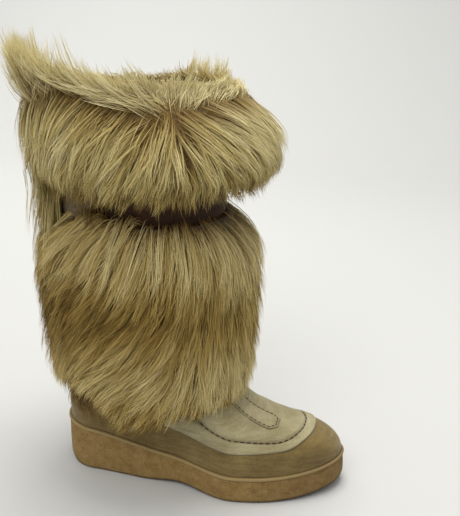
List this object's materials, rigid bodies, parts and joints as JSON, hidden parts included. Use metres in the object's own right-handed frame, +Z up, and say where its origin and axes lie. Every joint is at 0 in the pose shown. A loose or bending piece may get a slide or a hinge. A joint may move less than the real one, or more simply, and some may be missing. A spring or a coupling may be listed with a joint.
{
  "type": "mukluk boot",
  "caption": "Tall fur mukluk boot for the right foot: wedge crepe sole, suede foot with a moccasin apron and stitched strip, and a leg in long fur with a fur cuff.",
  "frame": {"origin": "bottom centre of the boot's box, on the floor", "axes": "+X towards the toe, +Y towards the inner side of the foot, +Z up"},
  "size_m": [0.2958, 0.1956, 0.4132],
  "materials": {
    "crepe": "matt tan crepe with a fine pebbled grain",
    "insole": "beige felt",
    "suede_dark": "olive brown suede",
    "suede_pale": "pale sage beige suede",
    "suede_strip": "pale sage beige suede",
    "band": "dark brown leather",
    "fur_shaft": "long golden olive hair",
    "fur_cuff": "long golden beige hair"
  },
  "bodies": {
    "root": {"sole": "crepe", "insole": "insole", "upper": "suede_dark", "apron": "suede_pale", "centre_strip": "suede_strip", "calf_band": "band", "shaft_fur": "fur_shaft", "cuff_fur": "fur_cuff"}
  },
  "joints": []
}
